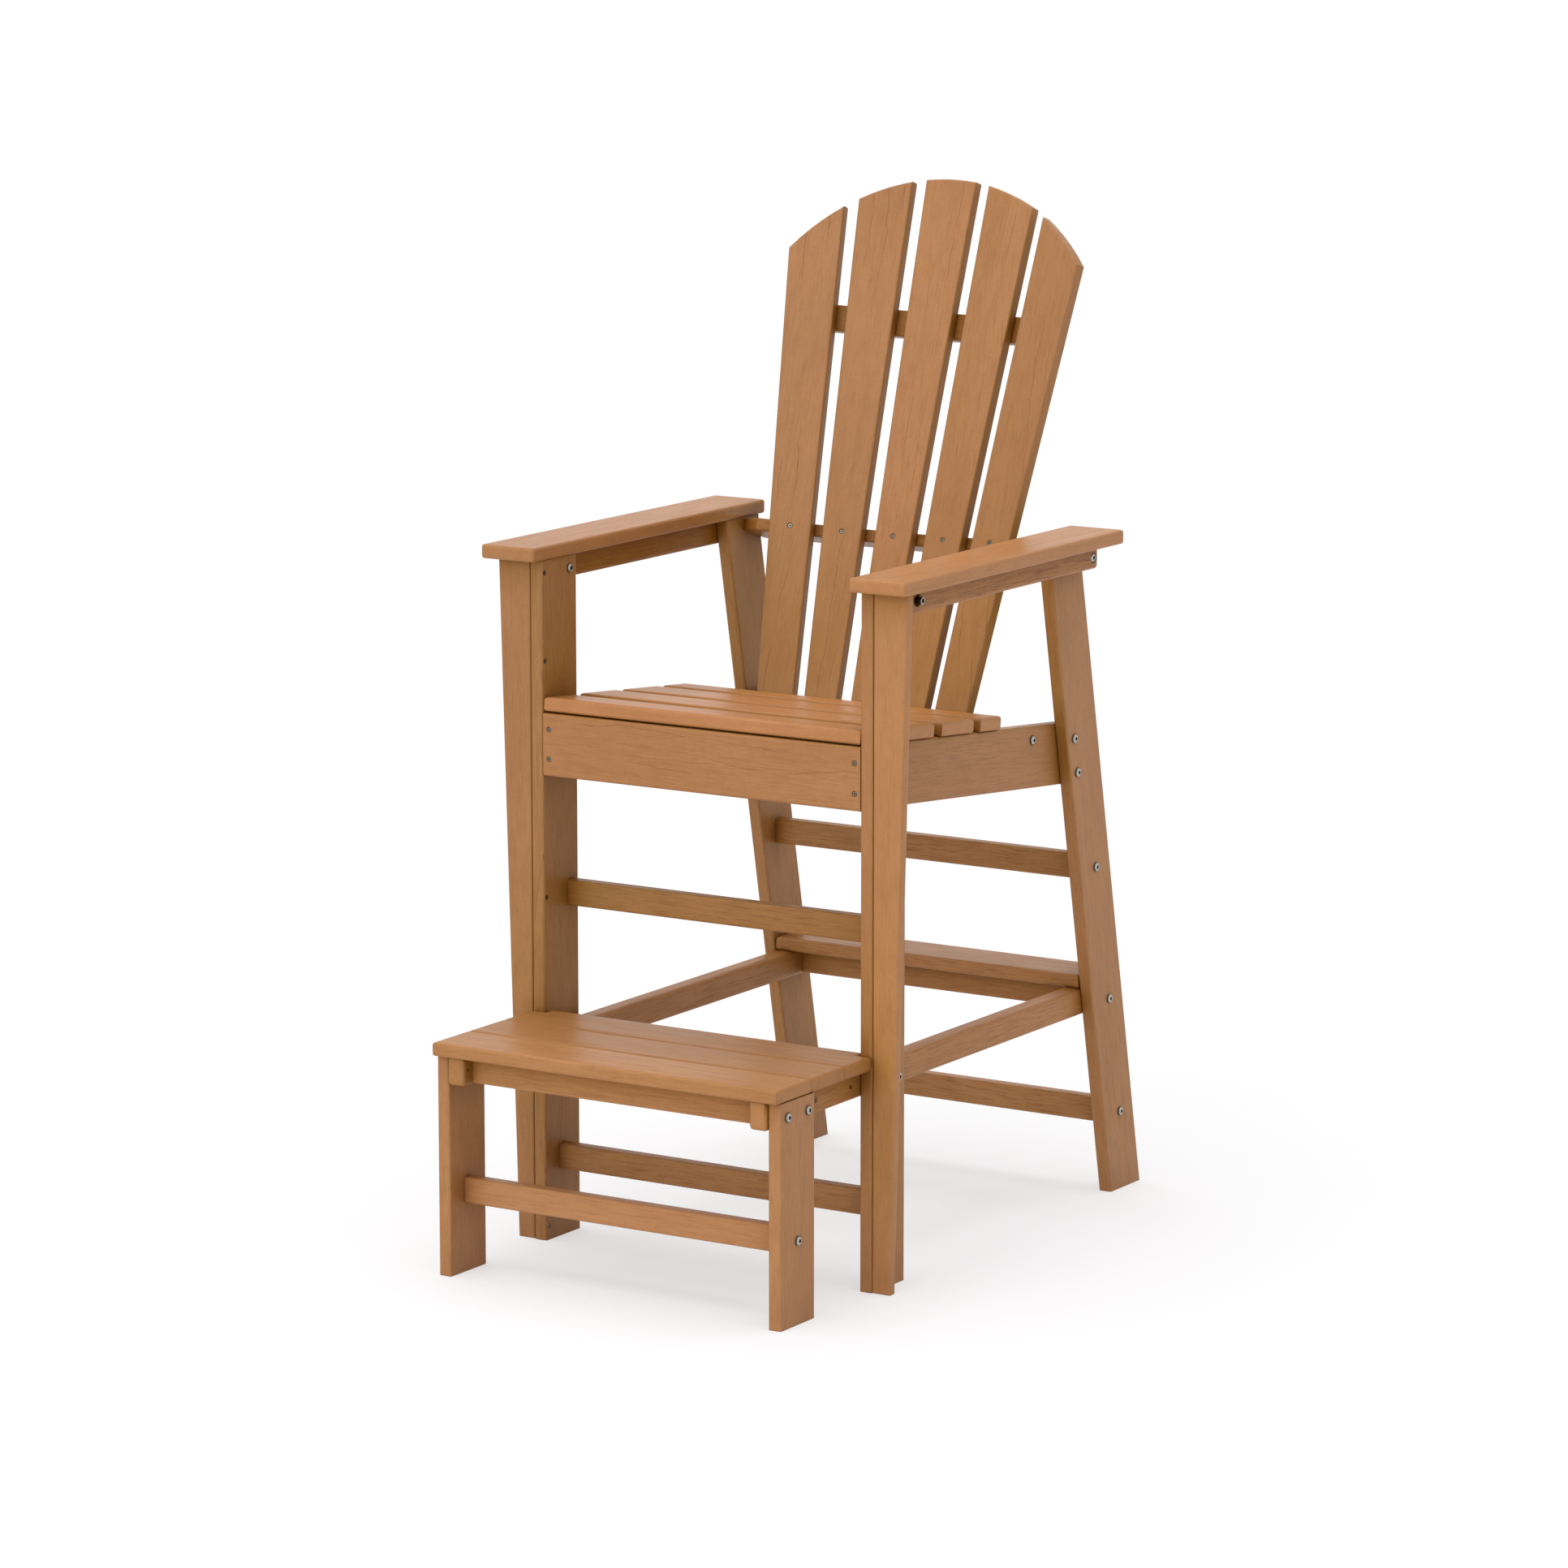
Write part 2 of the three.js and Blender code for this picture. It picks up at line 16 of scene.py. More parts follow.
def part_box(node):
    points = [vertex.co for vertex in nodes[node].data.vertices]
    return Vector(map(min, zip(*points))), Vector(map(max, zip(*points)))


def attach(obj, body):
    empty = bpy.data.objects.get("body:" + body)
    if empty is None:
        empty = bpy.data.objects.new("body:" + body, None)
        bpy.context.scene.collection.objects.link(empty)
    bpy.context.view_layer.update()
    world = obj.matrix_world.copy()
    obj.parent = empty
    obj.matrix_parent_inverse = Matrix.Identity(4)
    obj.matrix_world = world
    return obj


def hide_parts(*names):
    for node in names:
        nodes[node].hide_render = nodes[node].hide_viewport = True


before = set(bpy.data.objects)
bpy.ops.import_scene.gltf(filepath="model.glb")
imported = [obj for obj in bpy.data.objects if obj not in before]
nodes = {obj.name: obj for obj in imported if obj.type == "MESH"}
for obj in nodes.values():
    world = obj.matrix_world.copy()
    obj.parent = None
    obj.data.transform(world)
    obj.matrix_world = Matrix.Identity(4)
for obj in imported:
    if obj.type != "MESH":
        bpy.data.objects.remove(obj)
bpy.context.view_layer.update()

# Viewpoint of the photograph
CAMERA_AZIMUTH = math.radians(32.157)
CAMERA_ELEVATION = math.radians(10.381)
CAMERA_DISTANCE = 8.926746
CAMERA_TARGET = Vector((0.015793, -0.06467, 0.672681))
CAMERA_LENS = 142.347
CAMERA_ROLL = math.radians(-0.009)
CAMERA_REACH = 100

# Directions in which the grain runs, by the start of a board's name; the other boards run along X
REAR_LEAN = math.radians(11.35)
BACK_LEAN = math.radians(17.8)
SEAT_TILT = math.radians(5.07)
ALONG_X = Vector((1, 0, 0))
ALONG_Y = Vector((0, 1, 0))
ALONG_Z = Vector((0, 0, 1))
GRAIN = {
    "front_leg": ALONG_Z,
    "step_leg": ALONG_Z,
    "rear_leg": Vector((0, -math.sin(REAR_LEAN), math.cos(REAR_LEAN))),
    "back_slat": Vector((0, math.sin(BACK_LEAN), math.cos(BACK_LEAN))),
    "arm": ALONG_Y,
    "side_rail": ALONG_Y,
    "seat_rail": Vector((0, math.cos(SEAT_TILT), -math.sin(SEAT_TILT))),
}

# How strongly the dark brush lines show on a board, from 0 to 1, by the start of its name
BRUSHED = {
    "arm_rail_left": 0.45, "arm_rail": 1.0, "side_rail_left": 0.40, "side_rail": 0.55,
    "front_stretcher": 0.40, "rear_stretcher": 0.5, "front_leg_side_left": 0.20,
    "step_stretcher": 0.16, "ledge": 0.4, "seat_rail": 0.24, "back_rail": 0.4, "seat_apron": 0.16,
    "step_apron": 0.3, "step_slat": 0.16, "rear_leg": 0.16, "step_leg": 0.16,
}
PLAIN = 0.08

# How strongly the thin cracks show on a board, from 0 to 1, by the start of its name
CRACKED = {
    "back_slat": 1.0, "seat_apron": 0.75, "front_leg_side": 0.9, "rear_leg": 0.5, "step_leg": 0.4,
}
SOUND = 0.2

# Specular level of the boards that are a little shinier than the rest, by the start of the name
SHEEN = {"seat_slat": 0.36, "arm_left": 0.32, "arm_right": 0.28}
SATIN = 0.22

# Painted shade in the narrowest corners and seams of a board, from 0 to 1, by the start of its name
CORNER_SHADE = {"step_slat": 0.30}
DEEP = 0.82

# Shares of red, green and blue of some boards, by the start of their names: partly their own
# colour and partly painted light and shade, darker and warmer on the left, brighter on the right
TONES_AND_PAINTED_LIGHT = {
    "front_leg_face_right": (1.15, 1.17, 1.17), "front_leg_face_left": (0.93, 0.95, 0.99),
    "front_leg_side_left": (0.90, 0.94, 0.88), "back_slat_3": (0.99, 1.00, 1.04),
    "back_slat_5": (0.92, 0.94, 0.96), "back_slat": (0.95, 0.97, 0.99),
    "arm_rail_left": (0.80, 0.74, 0.28), "arm_left": (0.98, 0.97, 0.90), "arm": (1.09, 1.06, 1.02),
    "seat_slat": (1.14, 1.05, 0.98),
    "side_rail_right": (1.08, 1.08, 1.06), "side_rail_left": (0.95, 0.95, 0.86),
    "step_leg_right": (1.06, 1.08, 1.16), "step_leg_left": (1.05, 1.07, 1.09),
    "rear_leg_right": (1.02, 1.04, 1.08), "rear_leg_left": (0.96, 1.00, 1.02),
    "step_slat_1": (1.05, 1.06, 1.02), "step_slat": (0.93, 0.91, 0.85),
    "step_stretcher": (1.16, 1.17, 1.32), "step_apron": (1.05, 1.05, 1.05),
    "front_stretcher_upper": (0.94, 0.98, 1.00), "front_stretcher": (1.02, 1.07, 1.12),
    "rear_stretcher_upper": (0.97, 1.02, 1.02), "rear_stretcher": (1.08, 1.14, 1.16),
}
EVEN = (1.0, 1.0, 1.0)

# Lumber colours, linear
LUMBER_DARK = (0.300, 0.125, 0.042)
LUMBER_MID = (0.420, 0.194, 0.073)
LUMBER_LIGHT = (0.475, 0.225, 0.089)
# Pale colour of the hairs in the grain, and of the painted highlight on the rounded edges
LUMBER_PALE_AND_HIGHLIGHT = (0.520, 0.255, 0.108)
LUMBER_CRACK = (0.200, 0.060, 0.024)
# Painted shade: the dark colour of the corners and seams, and the tint where boards stand close
LUMBER_PAINTED_SHADE = (0.220, 0.078, 0.011)
SHADE_TINT = (0.86, 0.90, 0.32)

# Noises of the lumber: waves per metre along, across and through the board, detail and roughness
GRAIN_NOISES = {
    "cloud": ((3.0, 9.0, 9.0), 3.0, 0.55),
    "mottle": ((26.0, 60.0, 60.0), 4.0, 0.6),
    "streak": ((7.0, 190.0, 190.0), 4.0, 0.6),
    "dash": ((17.0, 520.0, 520.0), 3.0, 0.6),
    "hair": ((60.0, 900.0, 900.0), 3.0, 0.6),
    "weft": ((620.0, 90.0, 90.0), 2.0, 0.5),
}
# Noises that darken a board: the values where each starts and is full, and its strength on a
# plain board and what brushing adds to it
DARKENING = (
    ("mottle", 0.44, 0.70, 0.24, 0.0),
    ("streak", 0.50, 0.74, 0.11, 0.25),
    ("weft", 0.48, 0.70, 0.14, 0.0),
    ("hair", 0.48, 0.66, 0.14, 0.0),
)
# Each board has its own spot in the noises, and its lines stray from side to side
SPOT_STEPS = (1.37, 0.83, 2.11)
DRIFT_WAVES = 22.0
DRIFT_REACH = (0.0, 0.0045, 0.0045)

# Cracks are lines at an even distance, bent by noises: waves per metre, detail and reach
CRACK_HALF_DISTANCE = 0.0125
CRACK_WIDTH = 0.0010
CRACK_STRENGTH = 0.70
CRACK_SPELLS = (6.0, 30.0, 30.0)
CRACK_BENDS = (
    ((2.4, 4.0, 4.0), 1.0, 0.110),
    ((15.0, 20.0, 20.0), 2.0, 0.016),
    ((170.0, 60.0, 60.0), 2.0, 0.0022),
)

# Edge rounding, strength of the painted edge highlight, and reaches of the painted shade
EDGE_ROUNDING_RADIUS = 0.0034
EDGE_HIGHLIGHT_STRENGTH = 0.50
SHADE_REACH = 0.30
CREVICE_REACH = 0.050
LUMBER_RELIEF = 0.0007
LUMBER_IOR = 1.45

# Noises of the metal and of the hollows, in waves per metre
METAL_MARKS = (2600.0, 2600.0, 2600.0)
METAL_STAINS = (240.0, 240.0, 240.0)
HOLLOW_UNEVENNESS = (900.0, 900.0, 900.0)
METAL_EDGE_RADIUS = 0.00025
METAL_RELIEF = 0.00005
HOLLOW_RELIEF = 0.0001

# Button-head bolts
HEAD_RADIUS = 0.0067
HEAD_HEIGHT = 0.0036
HEAD_BEVEL = 0.0003
HEAD_RIM = 0.0009
CROWN_RADIUS = 0.0034
CROWN_STEPS = 6
CAD_HEAD_HEIGHT = 0.0042
SOCKET_WIDTH = 0.0052
SOCKET_DEPTH = 0.0022
SOCKET_TIP_DEPTH = 0.0026
SHANK_RADIUS = 0.00395
SHANK_TIP = 0.0008
LEG_BOLT_LENGTH = 0.045

# Rings of a sleeve nut, as radius and height over the arm rail's outer face
NUT_FLANGE = (
    (0.0081, -0.0058), (0.0084, -0.0055), (0.0084, -0.0042), (0.0080, -0.0038), (0.0053, -0.0036),
)
NUT_SLEEVE = ((0.0053, 0.0084), (0.0047, 0.0090), (0.0036, 0.0090))
NUT_BORE = ((0.0034, 0.0087), (0.0034, -0.0030), (0.0010, -0.0032))

# Square-drive wood screws, sunk a little below the board's face
SCREW_SUNK = 0.0012
SCREW_LENGTH = 0.0300
SCREW_POINT_RADIUS = 0.0004
SCREW_POINT_LENGTH = 0.0040
SCREW_SHANK_RADIUS = 0.0019
SCREW_CONE = 0.0032
SCREW_RADIUS = 0.0031
SCREW_RIM = 0.0003
SCREW_BEVEL = 0.0002
DISH_RADIUS = 0.0016
DISH_DEPTH = 0.00005
DRIVE_RADIUS = 0.0012
DRIVE_FLOOR_RADIUS = 0.0011
DRIVE_DEPTH = 0.0016
DRIVE_TIP_RADIUS = 0.0003
DRIVE_TIP_DEPTH = 0.0020

# Recesses in the boards: radius at the face, depth and radius at the floor
COUNTERSINK = (0.0042, 0.0042, 0.0022)
RAIL_HOLE = (0.0032, 0.0120, 0.0031)
INNER_HOLE = (0.0018, 0.0080, 0.0016)

# Places that the frame doesn't give. HEIGHT is over the floor, OUT is from the chair's middle,
# and BEHIND and BEFORE are from the front of the front legs.
RAIL_BOLTS_BEHIND = {"a": 0.0707, "b": 0.0245}
LEG_SCREW_HEIGHTS = (0.021, 0.5083, 0.8537, 0.9815)
LEG_SCREW_BEHIND = 0.0075
APRON_SCREW_HEIGHTS = (0.713, 0.7563)
APRON_SCREW_OUT = 0.257
RAIL_SCREW_HEIGHT = 0.301
RAIL_SCREW_BEFORE = 0.1175
RAIL_HOLE_BEFORE = 0.0237
INNER_HOLE_HEIGHT = 0.3045
INNER_HOLE_FROM_END = 0.0115
SLAT_SCREW_BELOW_RAIL_TOP = 0.0094
SLAT_SCREW_ARC = 0.0012
LOWER_RAIL_SCREW_LIFT = 0.012

SIDES = ((1, "right"), (-1, "left"))
SLATS = range(1, 6)
MIDDLE_SLAT = 3

# Meshing
AROUND = 48
SHARP_EDGE = math.radians(38)
CUT_OVERRUN = 0.0015
WELD_DISTANCE = 0.000005
SAME_DIRECTION = 0.9999
SAME_LEVEL = 0.0002
WELL_BEHIND = 2.0

# Floor and surroundings
WHITE = (1.0, 1.0, 1.0)
FLOOR_REACH = 60.0
FLOOR_PLAIN = (0.78, 0.78, 0.78)
FLOOR_SHADOWED = (0.416, 0.420, 0.430)
FLOOR_GLOW = 0.56
AMBIENT = 0.56
BACKDROP = 1.0


class Tree:
    """A node tree that is written as nested calls."""

    def __init__(self, owner):
        owner.use_nodes = True
        self.tree = owner.node_tree
        self.tree.nodes.clear()

    def add(self, kind, values=None, settings=None):
        """One node. values are by input name or number: a socket is linked, the rest is set."""
        node = self.tree.nodes.new(kind)
        for name, value in (settings or {}).items():
            setattr(node, name, value)
        for key, value in (values or {}).items():
            if isinstance(value, bpy.types.NodeSocket):
                self.tree.links.new(value, node.inputs[key])
            else:
                node.inputs[key].default_value = value
        return node

    def math(self, operation, *values):
        made = self.add("ShaderNodeMath", dict(enumerate(values)), {"operation": operation})
        return made.outputs[0]

    def vector(self, operation, *values):
        made = self.add("ShaderNodeVectorMath", dict(enumerate(values)), {"operation": operation})
        return made.outputs[0]

    def dot(self, first, second):
        made = self.add("ShaderNodeVectorMath", {0: first, 1: second}, {"operation": "DOT_PRODUCT"})
        return made.outputs["Value"]

    def noise(self, vector, waves, detail=3.0, roughness=0.55):
        """Noise with its own number of waves per metre on each axis."""
        made = self.add("ShaderNodeTexNoise", {
            "Vector": self.vector("MULTIPLY", vector, waves), "Scale": 1.0, "Detail": detail,
            "Roughness": roughness,
        })
        return made.outputs["Fac"]

    def span(self, value, low, high, to_low=0.0, to_high=1.0):
        """The value's range low to high, stretched to another range and clamped."""
        made = self.add("ShaderNodeMapRange", {
            "Value": value, "From Min": low, "From Max": high, "To Min": to_low, "To Max": to_high,
        })
        return made.outputs["Result"]

    def mix(self, factor, first, second, blend="MIX"):
        """Colour mix; a colour is a socket or three numbers."""
        def colour(value):
            return value if isinstance(value, bpy.types.NodeSocket) else (*value, 1.0)

        made = self.add("ShaderNodeMix", {0: factor, 6: colour(first), 7: colour(second)},
                        {"data_type": "RGBA", "blend_type": blend})
        return made.outputs[2]

    def open_sky(self, reach, samples):
        """How open a point is to all sides within a reach, from 0 in a deep corner to 1."""
        made = self.add("ShaderNodeAmbientOcclusion", {"Distance": reach}, {"samples": samples})
        return made.outputs["AO"]

    def rounded(self, radius, samples):
        """The surface's normal, as if its edges were rounded."""
        return self.add("ShaderNodeBevel", {"Radius": radius}, {"samples": samples}).outputs[0]


def by_start(name, table, other):
    """The table's value for the first start that a board's name has."""
    return next((value for start, value in table.items() if name.startswith(start)), other)


class Look:
    """How one board differs from the others, by its name."""

    def __init__(self, name):
        self.along = by_start(name, GRAIN, ALONG_X)
        self.brushed = by_start(name, BRUSHED, PLAIN)
        self.cracked = by_start(name, CRACKED, SOUND)
        self.sheen = by_start(name, SHEEN, SATIN)
        self.corner_shade = by_start(name, CORNER_SHADE, DEEP)
        self.tone_and_light = by_start(name, TONES_AND_PAINTED_LIGHT, EVEN)

    def toned(self, colour):
        return tuple(channel * share for channel, share in zip(colour, self.tone_and_light))


def board_space(tree, place, along, seed):
    """A place in the board's own axes, X along the grain, at the board's own spot."""
    side = along.cross(ALONG_X)
    if side.length < 0.5:
        side = ALONG_Z
    side = side.normalized()
    turn = Matrix((along, side, along.cross(side))).to_euler()
    spot = tuple(seed * step for step in SPOT_STEPS)
    return tree.add("ShaderNodeMapping", {
        "Vector": place, "Location": spot, "Rotation": turn,
    }).outputs[0]


def strayed(tree, straight):
    """The same space, with lines that stray a little from side to side."""
    drift = tree.add("ShaderNodeTexNoise", {
        "Vector": straight, "Scale": DRIFT_WAVES, "Detail": 3.0,
    }).outputs["Color"]
    return tree.vector("MULTIPLY_ADD", drift, DRIFT_REACH, straight)


def cracks(tree, straight, hair, flank, cracked):
    """Thin wavering lines along the board that come and go, as a mask."""
    parts = tree.add("ShaderNodeSeparateXYZ", {0: straight}).outputs
    across = tree.math("ADD", parts["Y"], parts["Z"])
    for waves, detail, reach in CRACK_BENDS:
        across = tree.math("MULTIPLY_ADD", tree.noise(straight, waves, detail), reach, across)
    near = tree.math("PINGPONG", across, CRACK_HALF_DISTANCE)
    line = tree.span(near, 0.0, CRACK_WIDTH, CRACK_STRENGTH * cracked, 0.0)
    spell = tree.span(tree.noise(straight, CRACK_SPELLS, 2.0), 0.50, 0.61)
    crack = tree.math("MULTIPLY", line, spell)
    crack = tree.math("MULTIPLY", crack, tree.span(hair, 0.36, 0.52, 0.40, 1.0))
    return tree.math("MULTIPLY", crack, flank)


def grain_colour(tree, noises, flank, look):
    """Clouds of two browns under darker marks and paler hairs, with the dark brush lines on the
    long faces."""
    clouds = tree.span(noises["cloud"], 0.32, 0.68)
    colour = tree.mix(clouds, look.toned(LUMBER_MID), look.toned(LUMBER_LIGHT))
    for kind, start, full, plain, more in DARKENING:
        share = tree.span(noises[kind], start, full, 0.0, plain + more * look.brushed)
        colour = tree.mix(share, colour, look.toned(LUMBER_DARK))
    pale_hair = tree.span(noises["hair"], 0.30, 0.46, 0.12, 0.0)
    colour = tree.mix(pale_hair, colour, look.toned(LUMBER_PALE_AND_HIGHLIGHT))
    brush_line = tree.span(noises["dash"], 0.50, 0.62, 0.0, 0.10 + 0.66 * look.brushed)
    brush_line = tree.math("MULTIPLY", brush_line, flank)
    return tree.mix(brush_line, colour, look.toned(LUMBER_CRACK))


def edge_highlights(tree, colour, normal, rounded, streak, look):
    """Painted highlight on the rounded edges, paler in some streaks than in others."""
    edge = tree.span(tree.dot(rounded, normal), 1.0, 0.86)
    highlight = tree.math("MULTIPLY", edge, tree.span(streak, 0.30, 0.62, 0.85, 0.25))
    highlight = tree.math("MULTIPLY", highlight, EDGE_HIGHLIGHT_STRENGTH)
    return tree.mix(highlight, colour, look.toned(LUMBER_PALE_AND_HIGHLIGHT))


def shaded_corners(tree, colour, place, corner_shade):
    """Painted shade: darker and warmer where boards stand close, dark in corners, fading to the
    floor.
    """
    height = tree.add("ShaderNodeSeparateXYZ", {0: place}).outputs["Z"]
    shade = tree.span(tree.open_sky(SHADE_REACH, 2), 0.40, 0.98, 1.0, 0.0)
    shade = tree.math("MULTIPLY", shade, tree.span(height, 0.04, 0.40))
    colour = tree.mix(shade, colour, SHADE_TINT, "MULTIPLY")
    corner = tree.span(tree.open_sky(CREVICE_REACH, 3), 0.38, 0.93, corner_shade, 0.0)
    corner = tree.math("MULTIPLY", corner, tree.span(height, 0.0, 0.06))
    return tree.mix(corner, colour, LUMBER_PAINTED_SHADE)


def lumber(name, seed, look):
    """Brushed plastic lumber for one board."""
    material = bpy.data.materials.new(name)
    tree = Tree(material)
    place = tree.add("ShaderNodeTexCoord").outputs["Object"]
    normal = tree.add("ShaderNodeNewGeometry").outputs["Normal"]
    rounded = tree.rounded(EDGE_ROUNDING_RADIUS, 3)
    straight = board_space(tree, place, look.along, seed)
    board = strayed(tree, straight)
    noises = {kind: tree.noise(board, *shape) for kind, shape in GRAIN_NOISES.items()}
    towards_end = tree.math("ABSOLUTE", tree.dot(normal, look.along))
    flank = tree.span(towards_end, 0.5, 0.8, 1.0, 0.0)
    crack = cracks(tree, straight, noises["hair"], flank, look.cracked)

    colour = grain_colour(tree, noises, flank, look)
    colour = tree.mix(crack, colour, LUMBER_CRACK)
    # Painted highlight on the edges, then painted shade where boards stand close and in corners
    colour = edge_highlights(tree, colour, normal, rounded, noises["streak"], look)
    colour = shaded_corners(tree, colour, place, look.corner_shade)

    dashes = tree.math("MULTIPLY", noises["dash"], flank)
    relief = tree.math("MULTIPLY_ADD", dashes, -(0.3 + 0.9 * look.brushed), noises["hair"])
    relief = tree.math("MULTIPLY_ADD", crack, -0.8, relief)
    bump = tree.add("ShaderNodeBump", {
        "Strength": 0.16, "Distance": LUMBER_RELIEF, "Height": relief, "Normal": rounded,
    }).outputs[0]
    shader = tree.add("ShaderNodeBsdfPrincipled", {
        "Base Color": colour, "Roughness": tree.span(noises["streak"], 0.30, 0.72, 0.32, 0.46),
        "Normal": bump, "Specular IOR Level": look.sheen, "IOR": LUMBER_IOR,
    })
    tree.add("ShaderNodeOutputMaterial", {"Surface": shader.outputs[0]})
    return material


def metal(name, colour, dark, smooth, rough):
    """Turned stainless steel with fine marks and uneven polish."""
    material = bpy.data.materials.new(name)
    tree = Tree(material)
    place = tree.add("ShaderNodeTexCoord").outputs["Object"]
    marks = tree.noise(place, METAL_MARKS, 3.0)
    stain = tree.noise(place, METAL_STAINS, 4.0)
    tint = tree.mix(tree.span(stain, 0.42, 0.70, 0.0, 0.6), colour, dark)
    bump = tree.add("ShaderNodeBump", {
        "Strength": 0.12, "Distance": METAL_RELIEF, "Height": marks,
        "Normal": tree.rounded(METAL_EDGE_RADIUS, 4),
    }).outputs[0]
    shader = tree.add("ShaderNodeBsdfPrincipled", {
        "Base Color": tint, "Metallic": 1.0,
        "Roughness": tree.span(stain, 0.35, 0.70, smooth, rough), "Normal": bump,
    })
    tree.add("ShaderNodeOutputMaterial", {"Surface": shader.outputs[0]})
    return material


def hollow(name):
    """Painted shade inside a drilled hole or a drive socket: near black, dull and uneven."""
    material = bpy.data.materials.new(name)
    tree = Tree(material)
    place = tree.add("ShaderNodeTexCoord").outputs["Object"]
    unevenness = tree.noise(place, HOLLOW_UNEVENNESS, 3.0)
    tint = tree.mix(tree.span(unevenness, 0.35, 0.70), (0.018, 0.012, 0.010), (0.050, 0.036, 0.028))
    bump = tree.add("ShaderNodeBump", {
        "Strength": 0.3, "Distance": HOLLOW_RELIEF, "Height": unevenness,
    }).outputs[0]
    shader = tree.add("ShaderNodeBsdfPrincipled", {
        "Base Color": tint, "Roughness": 0.7, "Normal": bump,
    })
    tree.add("ShaderNodeOutputMaterial", {"Surface": shader.outputs[0]})
    return material


STEEL = metal("stainless", (0.43, 0.42, 0.395), (0.21, 0.20, 0.18), 0.18, 0.36)
SCREW_STEEL = metal("stainless_screw", (0.24, 0.235, 0.215), (0.11, 0.105, 0.09), 0.28, 0.46)
# Painted shade: a dark copy of the steel for rims and shaded heads, near black in sockets and bores
SHADED_STEEL = metal("stainless_painted_shade", (0.105, 0.100, 0.088), (0.045, 0.042, 0.036), 0.30, 0.50)
DARK = hollow("painted_shade_hollow")
FASTENER_LOOKS = [STEEL, SHADED_STEEL, SCREW_STEEL, DARK]


def dress_lumber():
    """Gives each board its own grain, in the direction of its length."""
    boards = sorted(name for name in nodes if not name.startswith("bolt_"))
    for seed, name in enumerate(boards, 1):
        material = lumber(f"lumber_{name}", seed, Look(name))
        nodes[name].data.materials.clear()
        nodes[name].data.materials.append(material)


def ring(radius, height, corners=0):
    """Points of a ring at a height: a circle, or a polygon of that inscribed radius."""
    points = []
    for step in range(AROUND):
        angle = 2 * math.pi * step / AROUND
        reach = radius
        if corners:
            half = math.pi / corners
            reach = radius / math.cos((angle % (2 * half)) - half)
        points.append((reach * math.cos(angle), reach * math.sin(angle), height))
    return points


def skin(shape, rings):
    """Adds a closed solid through the rings, and gives its bands of faces and its two ends."""
    rows = [[shape.verts.new(point) for point in points] for points in rings]
    bands = []
    for lower, upper in zip(rows, rows[1:]):
        corners = zip(lower, lower[1:] + lower[:1], upper[1:] + upper[:1], upper)
        bands.append([shape.faces.new(four) for four in corners])
    return bands, shape.faces.new(list(reversed(rows[0]))), shape.faces.new(rows[-1])


def object_of(shape, name):
    """Finishes the mesh and puts it into the scene as an object."""
    mesh = bpy.data.meshes.new(name)
    shape.to_mesh(mesh)
    shape.free()
    made = bpy.data.objects.new(name, mesh)
    bpy.context.scene.collection.objects.link(made)
    return made


def loft(name, rings, looks):
    """Closed solid through the rings, from its bottom to the bottom of its socket. looks gives
    the material of each band of faces between two rings."""
    shape = bmesh.new()
    bands, first, last = skin(shape, rings)
    for look, band in zip(looks, bands):
        for face in band:
            face.smooth = True
            face.material_index = FASTENER_LOOKS.index(look)
    first.material_index = FASTENER_LOOKS.index(looks[0])
    last.material_index = FASTENER_LOOKS.index(looks[-1])
    bmesh.ops.recalc_face_normals(shape, faces=shape.faces)
    for edge in shape.edges:
        if len(edge.link_faces) == 2 and edge.calc_face_angle() > SHARP_EDGE:
            edge.smooth = False
    piece = object_of(shape, name)
    for look in FASTENER_LOOKS:
        piece.data.materials.append(look)
    return piece


def facing(place, direction):
    """Matrix that puts a piece's foot on place with its own Z in direction."""
    return Matrix.Translation(place) @ direction.to_track_quat("Z", "Y").to_matrix().to_4x4()


def settle(piece, place, direction):
    """Writes the place into the mesh and lets the piece ride on the chair."""
    piece.data.transform(facing(place, direction))
    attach(piece, "root")
    return piece


def button_rings(length):
    """Shank, domed head and hexagonal socket, with the plane under the head at height 0."""
    rings = [
        ring(SHANK_RADIUS - SHANK_TIP, -length), ring(SHANK_RADIUS, SHANK_TIP - length),
        ring(SHANK_RADIUS, 0), ring(HEAD_RADIUS - HEAD_BEVEL, 0), ring(HEAD_RADIUS, HEAD_BEVEL),
        ring(HEAD_RADIUS, HEAD_RIM),
    ]
    # Painted shade: the shank, rim and lower half of the dome take the dark copy of the steel
    looks = [SHADED_STEEL] * 5
    for step in range(1, CROWN_STEPS):
        angle = math.radians(90 * step / CROWN_STEPS)
        radius = CROWN_RADIUS + (HEAD_RADIUS - CROWN_RADIUS) * math.cos(angle)
        rings.append(ring(radius, HEAD_RIM + (HEAD_HEIGHT - HEAD_RIM) * math.sin(angle)))
        looks.append(SHADED_STEEL if step < CROWN_STEPS / 2 else STEEL)
    rings += [
        ring(CROWN_RADIUS, HEAD_HEIGHT), ring(SOCKET_WIDTH / 2, HEAD_HEIGHT, 6),
        ring(SOCKET_WIDTH / 2, HEAD_HEIGHT - SOCKET_DEPTH, 6),
        ring(SOCKET_WIDTH / 8, HEAD_HEIGHT - SOCKET_TIP_DEPTH),
    ]
    # Painted shade in the socket
    looks += [STEEL, STEEL, DARK, DARK]
    return rings, looks


def add_bolt(name, place, direction, length):
    rings, looks = button_rings(length)
    return settle(loft(name, rings, looks), place, direction)


